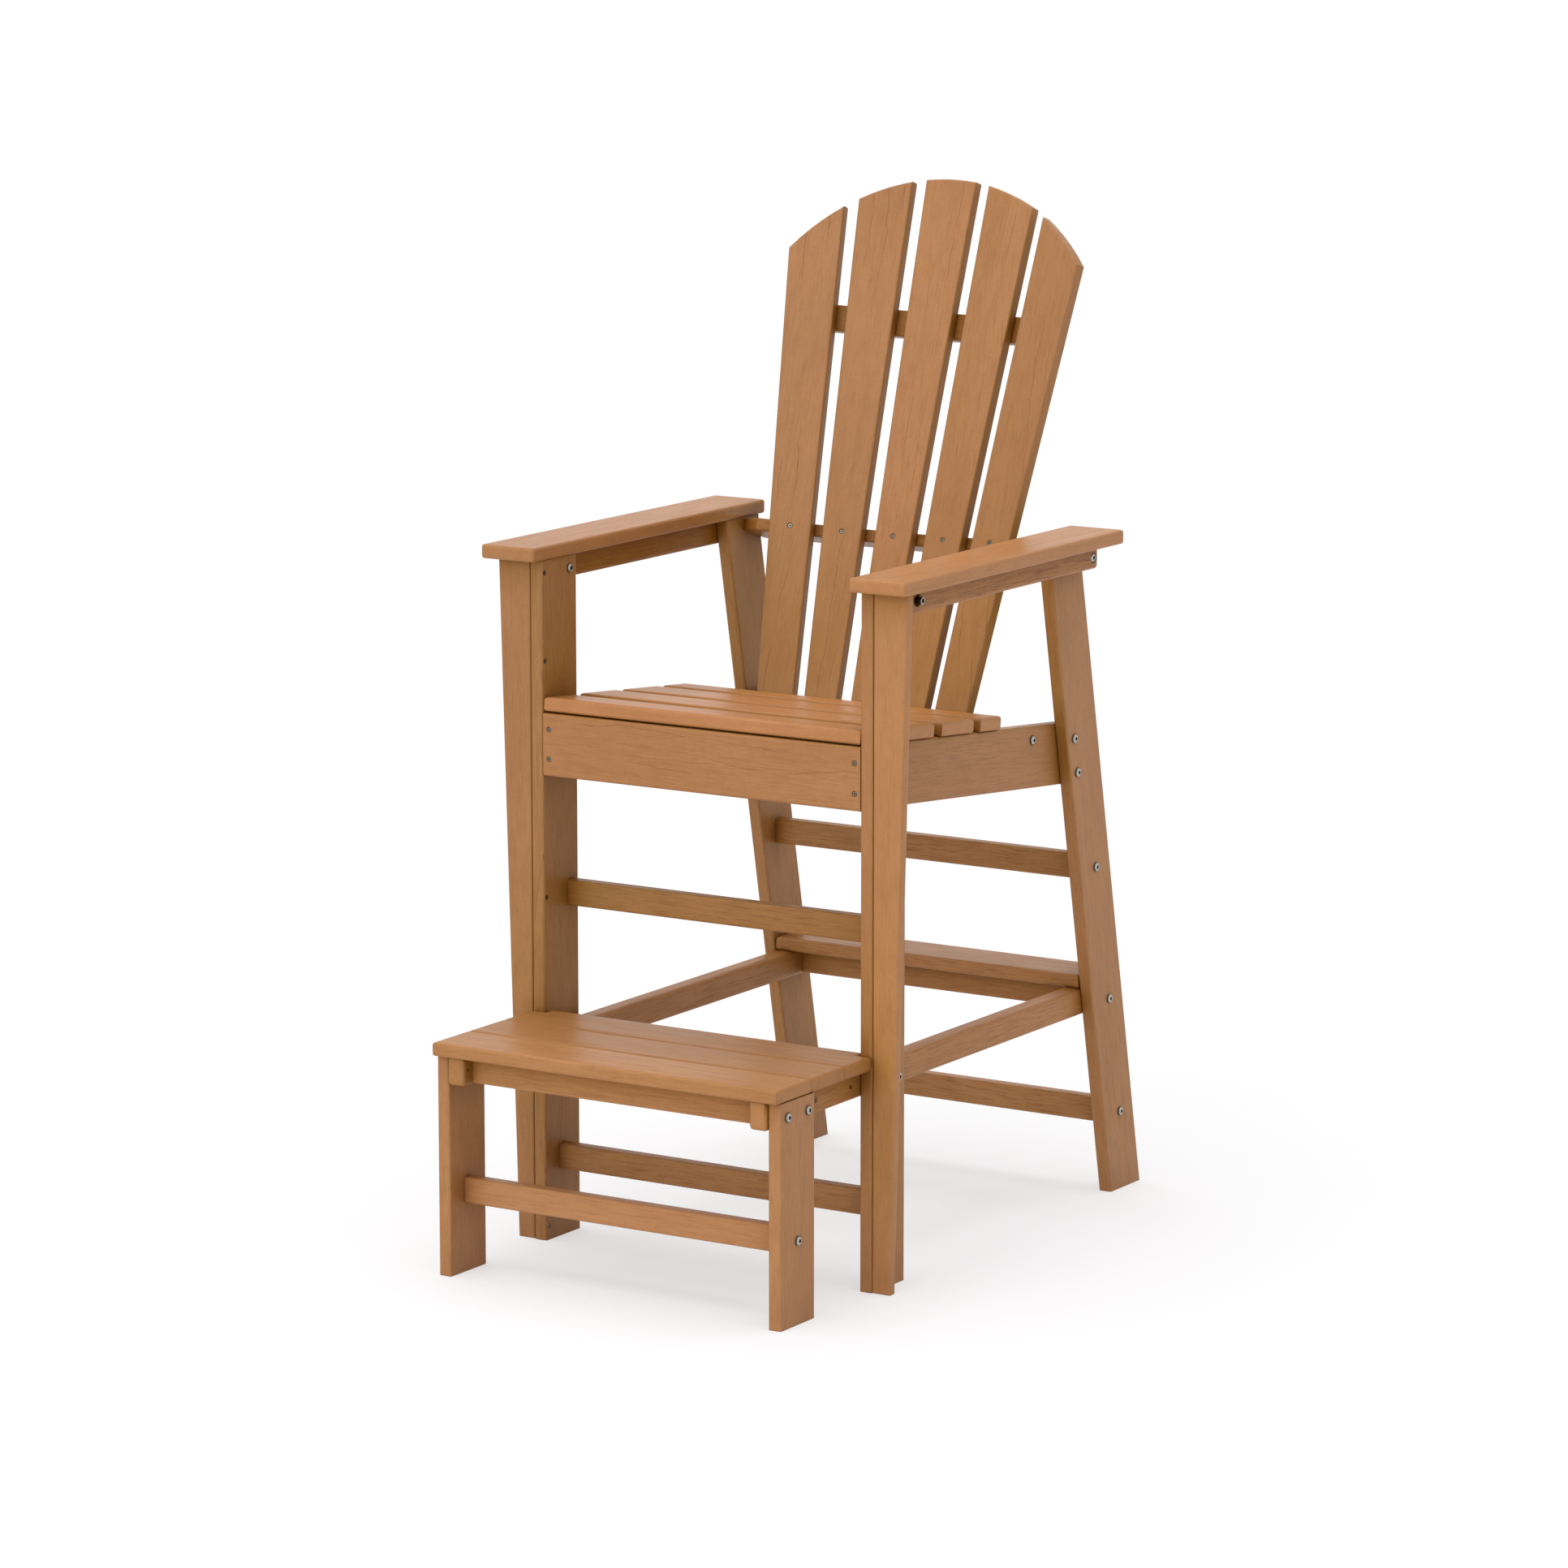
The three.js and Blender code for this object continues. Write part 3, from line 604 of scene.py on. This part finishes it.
def dress_cad_bolts():
    """Each CAD bolt gets its fine form, on its own axis and to its own length."""
    for name in sorted(nodes):
        if not name.startswith("bolt_"):
            continue
        low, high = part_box(name)
        middle = (low + high) / 2
        outward = 1 if middle.x > 0 else -1
        if name.startswith("bolt_arm_front"):
            outward = -outward
        top = high.x if outward > 0 else low.x
        length = (high.x - low.x) - CAD_HEAD_HEIGHT
        place = Vector((top - outward * CAD_HEAD_HEIGHT, middle.y, middle.z))
        piece = add_bolt(f"fine_{name}", place, Vector((outward, 0, 0)), length)
        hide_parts(name)


def add_leg_bolts():
    """Bolts of the stretchers and of the side rails through the step legs and front legs."""
    low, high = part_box("front_leg_side_right")
    outer = high.x
    front = low.y
    places = {}
    for stretcher in ("step_stretcher", "front_stretcher_lower", "front_stretcher_upper"):
        low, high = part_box(stretcher)
        places[stretcher] = ((low.y + high.y) / 2, (low.z + high.z) / 2)
    low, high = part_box("bolt_step_front_right")
    rail_height = (low.z + high.z) / 2
    for letter, behind in RAIL_BOLTS_BEHIND.items():
        places[f"front_rail_{letter}"] = (front + behind, rail_height)
    for name, (y, z) in places.items():
        for side, word in SIDES:
            place = Vector((side * outer, y, z))
            add_bolt(f"bolt_at_{name}_{word}", place, Vector((side, 0, 0)), LEG_BOLT_LENGTH)


def add_sleeve_nuts():
    """Barrel nuts on the front arm bolts, standing out of their counterbores."""
    # Painted shade: the flange in the dark copy of the steel, and the bore near black
    looks = [SHADED_STEEL] * len(NUT_FLANGE) + [STEEL] * len(NUT_SLEEVE) + [DARK] * 2
    for side, word in SIDES:
        low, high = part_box(f"arm_rail_{word}")
        face = high.x if side > 0 else low.x
        low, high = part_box(f"bolt_arm_front_{word}")
        rings = [ring(radius, height) for radius, height in NUT_FLANGE + NUT_SLEEVE + NUT_BORE]
        place = Vector((face, (low.y + high.y) / 2, (low.z + high.z) / 2))
        settle(loft(f"sleeve_nut_{word}", rings, looks), place, Vector((side, 0, 0)))


cutters = {}


def sink(board, place, direction, radius, depth, floor_radius):
    """Notes a round recess to be cut into a board, from its surface inwards."""
    slope = (radius - floor_radius) / depth
    rings = [ring(floor_radius, -depth), ring(radius + slope * CUT_OVERRUN, CUT_OVERRUN)]
    cutters.setdefault(board, []).append((rings, facing(place, direction)))


def cut_boards():
    """Cuts the noted recesses with one modifier a board."""
    for board, holes in cutters.items():
        shape = bmesh.new()
        for rings, matrix in holes:
            skin(shape, [[matrix @ Vector(point) for point in points] for points in rings])
        bmesh.ops.recalc_face_normals(shape, faces=shape.faces)
        cutter = object_of(shape, f"cutter_{board}")
        cutter.hide_render = True
        cutter.hide_viewport = True
        weld = nodes[board].modifiers.new("weld", "WELD")
        weld.merge_threshold = WELD_DISTANCE
        cut = nodes[board].modifiers.new("recesses", "BOOLEAN")
        cut.operation = "DIFFERENCE"
        cut.solver = "EXACT"
        cut.object = cutter


def add_screw(name, board, place, direction, face=SCREW_STEEL):
    """Flat-head screw with a square drive, in a countersink."""
    sink(board, place, direction, *COUNTERSINK)
    head = -SCREW_SUNK
    rings = [
        ring(SCREW_POINT_RADIUS, -SCREW_LENGTH),
        ring(SCREW_SHANK_RADIUS, SCREW_POINT_LENGTH - SCREW_LENGTH),
        ring(SCREW_SHANK_RADIUS, head - SCREW_CONE),
        ring(SCREW_RADIUS - SCREW_BEVEL, head - 2 * SCREW_RIM),
        ring(SCREW_RADIUS, head - SCREW_RIM),
        ring(SCREW_RADIUS - SCREW_BEVEL, head),
        ring(DISH_RADIUS, head - DISH_DEPTH),
        ring(DRIVE_RADIUS, head, 4),
        ring(DRIVE_FLOOR_RADIUS, head - DRIVE_DEPTH, 4),
        ring(DRIVE_TIP_RADIUS, head - DRIVE_TIP_DEPTH),
    ]
    # Painted shade: the rim in the dark copy of the steel, and the drive near black
    looks = [SHADED_STEEL] * 4 + [face] * 3 + [DARK] * 2
    return settle(loft(name, rings, looks), place, direction)


def slat_front(name, height):
    """Middle of a slat's front face at a height, and the face's direction."""
    mesh = nodes[name].data
    biggest = max((face for face in mesh.polygons if face.normal.y < 0), key=lambda face: face.area)
    normal = biggest.normal.copy()
    level = biggest.center.dot(normal)
    across = []
    for face in mesh.polygons:
        same_way = face.normal.dot(normal) > SAME_DIRECTION
        if not (same_way and abs(face.center.dot(normal) - level) < SAME_LEVEL):
            continue
        corners = [mesh.vertices[number].co for number in face.vertices]
        for start, end in zip(corners, corners[1:] + corners[:1]):
            if (start.z - height) * (end.z - height) < 0:
                share = (height - start.z) / (end.z - start.z)
                across.append(start.lerp(end, share))
    across.sort(key=lambda point: point.x)
    return (across[0] + across[-1]) / 2, normal


def from_behind(name, x, z):
    """Point of a board's rear face at x and z, and the face's direction."""
    mesh = nodes[name].data
    corners = [vertex.co for vertex in mesh.vertices]
    tree = BVHTree.FromPolygons(corners, [tuple(face.vertices) for face in mesh.polygons])
    place, normal, _, _ = tree.ray_cast(Vector((x, WELL_BEHIND, z)), Vector((0, -1, 0)))
    return place, normal


def add_slat_screws():
    """Screws in front of the back slats, one in each, in a shallow arc along the middle rail."""
    low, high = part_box("back_rail_middle")
    for number in SLATS:
        board = f"back_slat_{number}"
        rise = SLAT_SCREW_ARC * (number - MIDDLE_SLAT) ** 2
        place, normal = slat_front(board, high.z - SLAT_SCREW_BELOW_RAIL_TOP + rise)
        add_screw(f"screw_{board}", board, place, normal)


def add_leg_screws(side, word, inner, front):
    """Screws in a front leg's inner side board; painted shade on the upper heads, the lowest catches
    the light.
    """
    for number, z in enumerate(LEG_SCREW_HEIGHTS, 1):
        place = Vector((side * inner, front + LEG_SCREW_BEHIND, z))
        add_screw(f"screw_leg_{word}_{number}", f"front_leg_side_{word}", place,
                  Vector((-side, 0, 0)), SHADED_STEEL if number > 1 else SCREW_STEEL)


def add_apron_screws(side, word, front):
    """Two screws in an end of the seat's apron."""
    for number, z in enumerate(APRON_SCREW_HEIGHTS, 1):
        place = Vector((side * APRON_SCREW_OUT, front, z))
        add_screw(f"screw_apron_{word}_{number}", "seat_apron", place, Vector((0, -1, 0)))


def add_side_rail_screw(side, word, front):
    """A side rail's screw and open hole on its outer face, and the small hole on its inner one."""
    rail = f"side_rail_{word}"
    low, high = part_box(f"side_rail_{word}")
    outer, inner = (high.x, low.x) if side > 0 else (low.x, high.x)
    outward = Vector((side, 0, 0))
    place = Vector((outer, front - RAIL_SCREW_BEFORE, RAIL_SCREW_HEIGHT))
    add_screw(f"screw_{rail}", rail, place, outward)
    sink(rail, Vector((outer, front - RAIL_HOLE_BEFORE, RAIL_SCREW_HEIGHT)), outward, *RAIL_HOLE)
    place = Vector((inner, low.y + INNER_HOLE_FROM_END, INNER_HOLE_HEIGHT))
    sink(rail, place, -outward, *INNER_HOLE)


def add_rear_screws():
    """Screws that hold the back slats from behind, through the upper and lower rails."""
    for rail, lift in (("back_rail_upper", 0.0), ("back_rail_lower", LOWER_RAIL_SCREW_LIFT)):
        low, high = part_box(rail)
        z = (low.z + high.z) / 2 + lift
        for number in SLATS:
            middle, _ = slat_front(f"back_slat_{number}", z)
            place, normal = from_behind(rail, middle.x, z)
            add_screw(f"screw_{rail}_{number}", rail, place, normal)


def add_screws():
    """All wood screws, and the open holes of the side rails."""
    add_slat_screws()
    low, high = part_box("front_leg_side_right")
    for side, word in SIDES:
        add_leg_screws(side, word, low.x, low.y)
        add_apron_screws(side, word, low.y)
        add_side_rail_screw(side, word, low.y)
    add_rear_screws()


def background_rays(tree):
    """1 for rays that show the background: straight, in a gloss or through something clear."""
    path = tree.add("ShaderNodeLightPath").outputs
    seen = tree.math("MAXIMUM", path["Is Camera Ray"], path["Is Glossy Ray"])
    return tree.math("MAXIMUM", seen, path["Is Transmission Ray"])


def add_floor():
    """Floor that looks white and keeps a soft shadow, and is plain and pale to all other rays."""
    mesh = bpy.data.meshes.new("floor")
    corners = [(-1, -1), (1, -1), (1, 1), (-1, 1)]
    mesh.from_pydata([(x * FLOOR_REACH, y * FLOOR_REACH, 0) for x, y in corners], [], [(0, 1, 2, 3)])
    floor = bpy.data.objects.new("floor", mesh)
    bpy.context.scene.collection.objects.link(floor)
    material = bpy.data.materials.new("pale_floor")
    tree = Tree(material)
    seen = background_rays(tree)
    plain = tree.add("ShaderNodeBsdfDiffuse", {"Color": (*FLOOR_PLAIN, 1.0)}).outputs[0]
    shadowed = tree.add("ShaderNodeBsdfDiffuse", {"Color": (*FLOOR_SHADOWED, 1.0)}).outputs[0]
    glow = tree.add("ShaderNodeEmission", {
        "Color": (*WHITE, 1.0), "Strength": FLOOR_GLOW,
    }).outputs[0]
    shown = tree.add("ShaderNodeAddShader", {0: shadowed, 1: glow}).outputs[0]
    both = tree.add("ShaderNodeMixShader", {0: seen, 1: plain, 2: shown}).outputs[0]
    tree.add("ShaderNodeOutputMaterial", {"Surface": both})
    mesh.materials.append(material)


def add_surroundings():
    """White surroundings that light the chair more softly than they look."""
    world = bpy.data.worlds.new("studio")
    bpy.context.scene.world = world
    tree = Tree(world)
    seen = background_rays(tree)
    ambient, backdrop = (
        tree.add("ShaderNodeBackground", {"Color": (*WHITE, 1.0), "Strength": strength}).outputs[0]
        for strength in (AMBIENT, BACKDROP)
    )
    both = tree.add("ShaderNodeMixShader", {0: seen, 1: ambient, 2: backdrop}).outputs[0]
    tree.add("ShaderNodeOutputWorld", {"Surface": both})


def add_sun(name, towards, strength, softness, colour=WHITE):
    """Soft sunlight, so that its level is the same all over the object. softness is its width in
    the sky, in degrees."""
    lamp = bpy.data.lights.new(name, "SUN")
    lamp.color = colour
    lamp.energy = strength
    lamp.angle = math.radians(softness)
    holder = bpy.data.objects.new(name, lamp)
    holder.rotation_euler = Vector(towards).to_track_quat("-Z", "Y").to_euler()
    bpy.context.scene.collection.objects.link(holder)


def add_camera():
    """The photograph's camera."""
    camera = bpy.data.objects.new("camera", bpy.data.cameras.new("camera"))
    camera.data.lens = CAMERA_LENS
    camera.data.clip_end = CAMERA_REACH
    away = Vector((
        math.sin(CAMERA_AZIMUTH) * math.cos(CAMERA_ELEVATION),
        -math.cos(CAMERA_AZIMUTH) * math.cos(CAMERA_ELEVATION),
        math.sin(CAMERA_ELEVATION),
    ))
    camera.location = CAMERA_TARGET + away * CAMERA_DISTANCE
    aim = (-away).to_track_quat("-Z", "Y").to_matrix()
    camera.rotation_euler = (aim @ Matrix.Rotation(CAMERA_ROLL, 3, "Z")).to_euler()
    bpy.context.scene.collection.objects.link(camera)
    bpy.context.scene.camera = camera


dress_lumber()
dress_cad_bolts()
add_leg_bolts()
add_sleeve_nuts()
add_screws()
cut_boards()
add_floor()
add_surroundings()
add_sun("overhead", towards=(0.05, 0.06, -0.98), strength=1.65, softness=60,
        colour=(1.0, 0.962, 0.950))
add_sun("front", towards=(0.10, 0.95, -0.27), strength=0.82, softness=40)
add_camera()
bpy.context.scene.view_settings.view_transform = "Standard"
